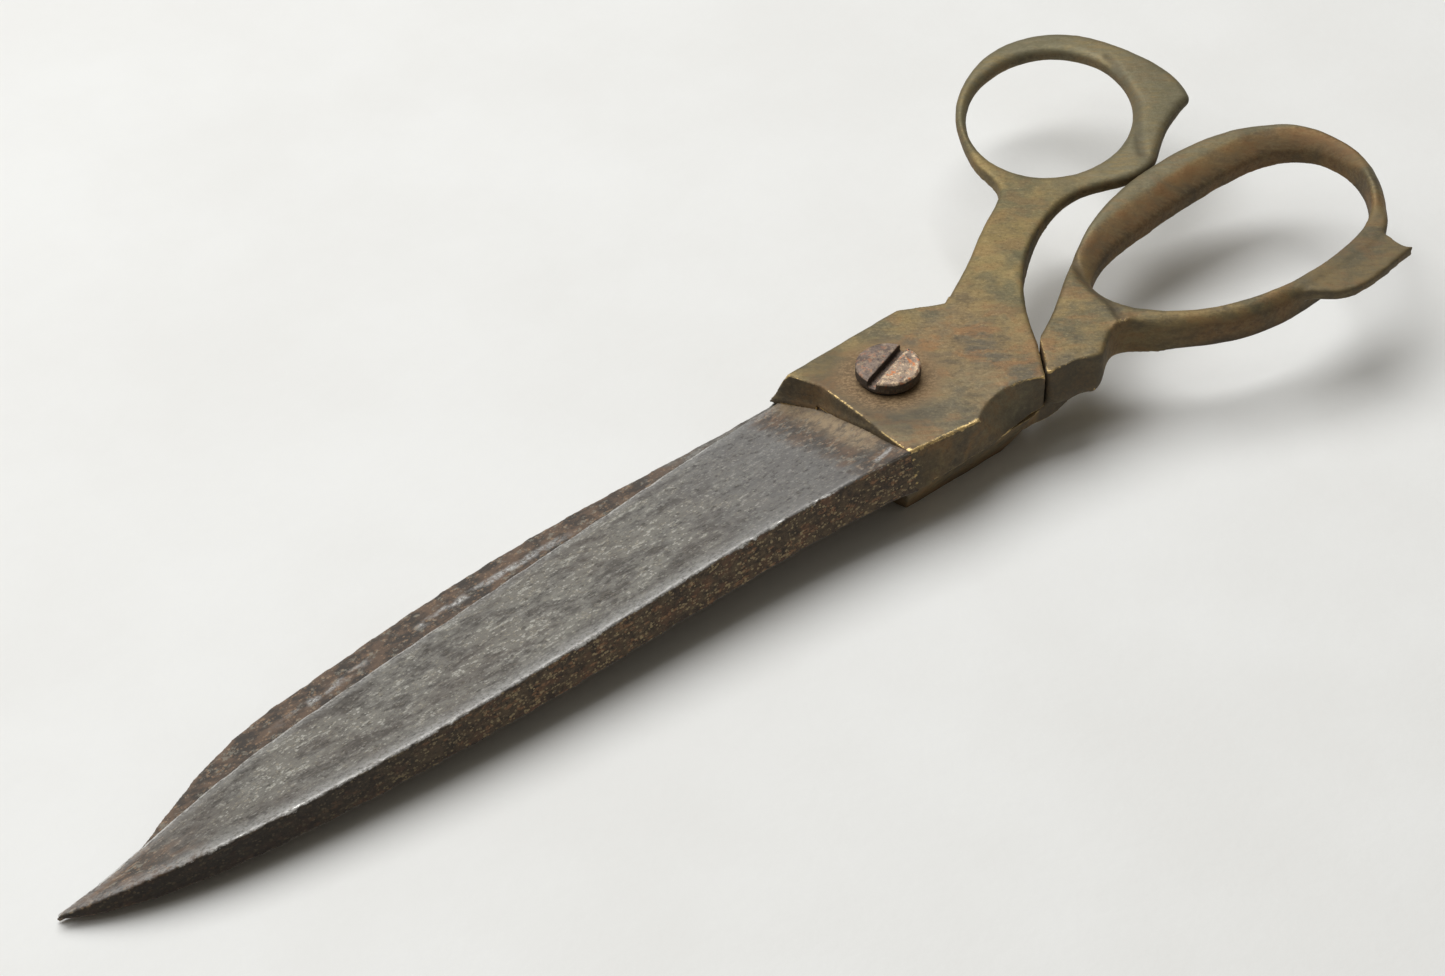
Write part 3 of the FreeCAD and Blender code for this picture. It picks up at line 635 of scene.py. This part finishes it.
def shoulder(distance, reach):
    """1 at a wall, falling smoothly to 0 at this reach."""
    return np.clip(1.0 - distance / reach, 0.0, 1.0) ** 2


# Lines in plan: the crease where the bow leaves the neck, and the one between the ring's rim and its fan.
BOW_CREASE = [(41.5, 2.6), (40.6, 1.1), (38.8, -3.1), (37.5, -7.0), (36.9, -11.0), (35.0, -14.6)]
RING_CREASE = [(84.5, 36.0), (83.5, 33.4), (78.4, 23.3), (72.0, 17.2), (68.6, 13.0)]
# Each hole's middle in plan, and each loop's underside, top and start.
BOW_HOLE, BOW_LOW, BOW_HIGH, BOW_BEGINS = (66.0, -12.0), 2.0, 7.0, 36.0
RING_HOLE, RING_LOW, RING_HIGH, RING_BEGINS = (66.2, 31.7), 4.2, 6.6, 46.0
# The small raised bump at the near end of the bow's crease, in plan.
BOW_BUMP = (34.9, -15.0)


def shape_bow(skin):
    """The finger bow: falls into its hole on the far side, and outwards on the near side.

    Gives back values to paint by name, as shape_ring() does.
    """
    far = steps(skin.v, -16.0, -8.0)
    spur = steps(skin.u, 58.0, 63.0) * steps(skin.u, 88.0, 83.0) * steps(skin.v, -20.0, -24.0)

    def drops(to_hole, to_outside):
        near = (1 - far) * (1 - spur)
        return (far * (2.3 * shoulder(to_hole, 6.0) + 0.3 * shoulder(to_outside, 2.0))
                + near * (1.3 * shoulder(to_outside, 2.4) + 0.1 * shoulder(to_hole, 0.8)))

    to_hole, height = round_off(skin, BOW_HOLE, BOW_LOW, BOW_HIGH, BOW_BEGINS, drops)
    # The near side is deeper than the far side.
    skin.shift(AXIS, -0.9 * (1 - far) * (1 - height)
               * steps(skin.u, 33.0, 40.0) * steps(skin.u, 68.0, 58.0))
    crease = from_line(skin.plan, BOW_CREASE)
    raised = steps(skin.facing, 0.2, 0.8)
    skin.shift(AXIS, -0.45 * steps(crease, 1.1, 0.0) * raised)
    bump = np.hypot(skin.u - BOW_BUMP[0], skin.v - BOW_BUMP[1])
    skin.shift(AXIS, 0.4 * steps(bump, 2.4, 0.6) * raised)
    # The facet beside the block leans back as it rises.
    lean = steps(skin.w, 1.0, 7.0) * steps(skin.u, 17.5, 20.0) * steps(skin.u, 28.0, 25.0)
    skin.shift((0.0, 1.0, 0.0), 1.2 * lean * steps(skin.v, -13.5, -16.0))
    facet = steps(skin.u, 16.5, 17.5) * steps(skin.u, 29.0, 27.0) * steps(skin.v, -13.0, -14.0)
    # Painted highlights: a line along the hole's edge on the near side, and a spot on the small bump.
    rim = (1 - far) * steps(to_hole, 0.9, 0.2) * steps(skin.facing, 0.1, 0.5)
    rear = steps(skin.u, 38.0, 46.0)
    # Painted shade on the leaning facet where it slopes; the spur's near side is darkened too.
    return {"scorch_and_shade": np.maximum(facet * steps(skin.facing, 0.85, 0.6), 0.4 * spur * (1 - far)),
            # Painted shade: the near side's wall darkens towards its bottom at the rear; the crease is
            # dark as a hollow.
            "cavity_and_shade": np.maximum(0.5 * steps(crease, 1.3, 0.3) * raised,
                                 0.7 * (1 - far) * rear * steps(height, 0.5, 0.05)),
            "wear_and_highlight": np.maximum(0.55 * steps(bump, 2.0, 0.5) * raised, 0.45 * rim * rear),
            "chalk": far * rear * steps(to_hole, 3.5, 4.5),
            "tan": np.maximum(far * rear * steps(to_hole, 4.2, 3.2),
                              0.9 * (1 - far) * (1 - spur) * rear * steps(skin.facing, 0.7, 0.3)),
            # The far side's inner slope gets the walls' grime with painted shade.
            "wall": far * rear * steps(to_hole, 3.0, 0.2)}


def shape_ring(skin):
    """The thumb ring: a round rim, and a fan behind it that thins towards its outer edge."""

    def drops(to_hole, to_outside):
        fan = steps(skin.u, 66.0, 74.0) * steps(to_hole, 3.5, 10.0)
        return 0.6 * shoulder(to_hole, 1.6) + 0.3 * shoulder(to_outside, 1.5) + 0.3 * fan

    round_off(skin, RING_HOLE, RING_LOW, RING_HIGH, RING_BEGINS, drops)
    crease = from_line(skin.plan, RING_CREASE)
    raised = steps(skin.facing, 0.2, 0.8)
    skin.shift(AXIS, -0.22 * steps(crease, 1.3, 0.0) * raised)
    # The scallop in the block's near wall, with painted shade in its rear and lower part, and a painted
    # highlight along the block's near top edge in front of it.
    scallop = (steps(skin.v, -16.15, -15.75) * steps(skin.v, -12.8, -13.6) * steps(skin.facing, 0.9, 0.7)
               * steps(skin.u, 2.0, 5.0) * steps(skin.u, 19.5, 18.0))
    near_wall = (np.abs(skin.facing) < 0.4) & (skin.v < -14.0) & (skin.u > -9.5) & (skin.u < 3.0)
    near_rim = steps(nearest(skin.plan, skin.plan[near_wall]), 0.9, 0.3) * steps(skin.facing, 0.1, 0.3)
    # Painted shade in the scallop's rear end and lower part.
    scallop_end = np.maximum(steps(skin.u, 13.5, 17.0), steps(skin.w, 2.4, 0.6))
    return {"chalk": np.maximum(scallop, steps(skin.u, 46.0, 62.0)), "cut": scallop,
            "wear_and_highlight": near_rim * (0.85 + 0.35 * lumps(skin.uvw, 1.5, seed=15)),
            "cavity_and_shade": np.maximum(0.3 * steps(crease, 1.3, 0.3) * raised, 0.55 * scallop * scallop_end)}


def aged_handle(node, body, side, material):
    """side is +1 for the upper half's casting, -1 for the lower half's."""
    skin = Surface(node, voxel=0.30)
    skin.smooth(2, share=0.35)
    marks = shape_ring(skin) if side > 0 else shape_bow(skin)
    # The loops are smoother than the block.
    softness = steps(skin.u, 24.0, 40.0)
    # The blade's outer face slopes from its spine; the casting keeps its shape where it meets that face.
    blade_top = 7.0 - 0.243 * (side * skin.v + 14.0)
    seam = steps(skin.u, -7.6, -8.4) * np.maximum(steps(np.abs(side * skin.w - blade_top), 1.6, 0.8),
                                                  steps(side * skin.v, -13.0, -13.8))
    skin.smooth(6, share=(0.04 + 0.40 * softness) * (1 - seam))
    running = steps(np.abs(skin.w), 0.4, 0.15)
    cast = (0.07 * lumps(skin.uvw, 7.0, seed=11) + 0.045 * lumps(skin.uvw, 2.4, seed=12)
            + 0.02 * lumps(skin.uvw, 0.9, seed=13))
    from_pivot = np.hypot(skin.u, skin.v)
    away = steps(from_pivot, 6.5, 9.0)
    nicks = 0.22 * steps(skin.bulge(4), 0.06, 0.14) * steps(lumps(skin.uvw, 1.3, seed=14), 0.4, 0.85)
    dents = np.where(cast < 0, cast * away, cast) + nicks * (1 - softness)
    skin.press(dents * (1 - running) * (1 - seam))
    skin.shift(ALONG, -0.2 * seam * steps(skin.normals @ ALONG, -0.3, -0.7) * (1 - running))
    bulge = skin.bulge(10)
    near_seam = steps(skin.u, -6.5, -9.0) * steps(side * skin.v, -13.0, -14.5)
    front = steps(skin.normals @ ALONG, -0.35, -0.75) * steps(skin.u, -3.0, -6.0)
    far_foot = (steps(skin.u, -6.5, -9.0) * steps(side * skin.v, 11.0, 13.0)
                * steps(side * skin.w, 5.0, 3.5))
    # The lower block's top edge under the scallop lies in the upper block's shade: it gets no rubbed
    # gold, and a painted dark line of shade.
    shade_under_scallop = (steps(skin.u, 4.0, 8.0) * steps(skin.u, 22.0, 19.0) * steps(side * skin.v, -11.0, -13.0)
               * steps(np.abs(skin.w), 1.5, 0.5) * (side < 0))
    no_gold = np.maximum.reduce([near_seam, far_foot, shade_under_scallop])
    worn = steps(bulge, 0.05, 0.18) * (1 - 0.5 * softness) * (1 - 0.9 * no_gold)
    upward = steps(side * skin.facing, 0.5, 0.9)
    halo = 0.45 * steps(from_pivot, 15.0, 10.0) * steps(skin.u, 2.0, -4.0) * upward
    paints = {"wear_and_highlight": worn, "cavity_and_shade": np.maximum(steps(bulge, -0.04, -0.18), 0.7 * shade_under_scallop),
              "scorch_and_shade": np.maximum.reduce([halo, 0.7 * near_seam, 0.35 * front]),
              # The walls: grime with painted shade.
              "wall": steps(np.abs(skin.facing), 0.75, 0.35) * (1 - 0.2 * marks.get("cut", 0.0)),
              "tint": np.maximum(steps(skin.u, 14.0, 30.0) * (1.0 if side > 0 else 0.6),
                                 0.7 * steps(side * skin.v, 2.0, 9.0) * upward),
              "ochre": steps(from_pivot, 9.5, 6.0) * upward,
              "tan": np.zeros(len(skin.u)),
              "chalk": 0.45 * steps(side * skin.v, -3.0, -9.0) * steps(skin.u, 17.0, 10.0) * upward}
    for name, values in paints.items():
        skin.paint(name, np.maximum(values, marks.get(name, 0.0)))
    skin.finish(body, material)


# Across the screwdriver's slot, in plan, towards the half of the head that is nearer the camera.
ACROSS_SLOT = (0.29, -0.957)


def aged_iron(node, body, voxel, material):
    """The screw, or the washer under its head."""
    skin = Surface(node, voxel=voxel)
    skin.smooth(3)
    grains = 0.03 * (1 + lumps(skin.uvw, 1.6, seed=21)) + 0.035 * (1 + lumps(skin.uvw, 0.6, seed=22))
    skin.press(grains * steps(np.hypot(skin.u, skin.v), 3.0, 3.4))
    bulge = skin.bulge(8)
    near_half = steps(ACROSS_SLOT[0] * skin.u + ACROSS_SLOT[1] * skin.v, 0.0, 1.0)
    # Painted shade: the head's side wall, and everything below the head.
    sides = steps(np.abs(skin.facing), 0.6, 0.3) * steps(skin.w, 9.6, 9.2)
    under_head = steps(skin.w, 7.9, 7.5)
    skin.paint("wear_and_highlight", steps(bulge, 0.02, 0.08) * (0.4 + 0.6 * near_half))
    hollows = steps(bulge, -0.02, -0.06)
    skin.paint("cavity_and_shade", np.maximum.reduce([hollows, under_head, 0.85 * sides]))
    skin.paint("rust", 0.3 + 0.7 * near_half)
    skin.finish(body, material)


def build_shears():
    steel, brass, iron = aged_steel("blade_steel"), aged_brass("cast_brass"), rusted_iron("screw_iron")
    aged_blade("upper_blade", "upper_half", 1, steel)
    aged_blade("lower_blade", "lower_half", -1, steel)
    aged_handle("upper_handle", "upper_half", 1, brass)
    aged_handle("lower_handle", "lower_half", -1, brass)
    aged_iron("pivot_screw", "lower_half", 0.13, iron)
    aged_iron("head_washer", "lower_half", 0.11, iron)


# ---------------------------------------------------------------- stage, light and camera

def build_floor():
    """A plain pale table top."""
    half = 3.0
    mesh = bpy.data.meshes.new("table_top")
    mesh.from_pydata([(-half, -half, 0), (half, -half, 0), (half, half, 0), (-half, half, 0)], [],
                     [(0, 1, 2, 3)])
    floor = bpy.data.objects.new("table_top", mesh)
    bpy.context.scene.collection.objects.link(floor)
    n = Nodes("pale_table")
    cloud = n.grains((60.0, 60.0, 60.0), detail=5.0)
    grain = n.grains((2.0, 2.0, 2.0), detail=4.0)
    colour = n.mix(n.between(cloud, 0.3, 0.7), rgb(0.80, 0.80, 0.78), rgb(0.84, 0.845, 0.83))
    mesh.materials.append(n.done(colour, 0.7, 0.0, n.bump(grain, 0.05)))


def soft_box(name, place, aim, width, height, power, tint):
    """A soft rectangular light that shines from its place towards its aim."""
    light = bpy.data.lights.new(name, "AREA")
    light.shape = "RECTANGLE"
    light.size, light.size_y = width, height
    light.energy = power
    light.color = tint
    lamp = bpy.data.objects.new(name, light)
    lamp.location = place
    lamp.rotation_euler = (Vector(aim) - Vector(place)).to_track_quat("-Z", "Y").to_euler()
    bpy.context.scene.collection.objects.link(lamp)


def build_light():
    """A large overhead light, a smaller one from the left, and a little warm light from all round."""
    world = bpy.data.worlds.new("studio")
    world.use_nodes = True
    background = world.node_tree.nodes["Background"]
    background.inputs["Color"].default_value = rgb(1.0, 0.92, 0.78)
    background.inputs["Strength"].default_value = 0.14
    bpy.context.scene.world = world
    centre = (-0.02, 0.0, 0.0)
    soft_box("overhead", place=(0.16, 0.75, 1.45), aim=centre, width=1.7, height=1.3, power=25.0,
             tint=(0.99, 0.995, 1.0))
    soft_box("left_window", place=(-0.75, 0.55, 1.0), aim=centre, width=1.2, height=1.0, power=6.5,
             tint=(0.98, 0.99, 1.0))


def build_camera():
    """The main view, from 41 degrees above the table, with the shears' point at the lower left."""
    elevation, heading = math.radians(41.0), math.radians(40.6303)
    place = (-0.247022, -0.249487, 0.296414)
    right = Vector((math.cos(heading), -math.sin(heading), 0.0))
    back = Vector((-math.sin(heading) * math.cos(elevation), -math.cos(heading) * math.cos(elevation),
                   math.sin(elevation)))
    up = back.cross(right)
    data = bpy.data.cameras.new("camera")
    data.lens = 74.74
    data.sensor_width = 36.0
    camera = bpy.data.objects.new("camera", data)
    turn = Matrix((right, up, back)).transposed().to_4x4()
    camera.matrix_world = Matrix.Translation(place) @ turn
    bpy.context.scene.collection.objects.link(camera)
    bpy.context.scene.camera = camera


build_shears()
build_floor()
build_light()
build_camera()
bpy.context.scene.view_settings.view_transform = "Standard"
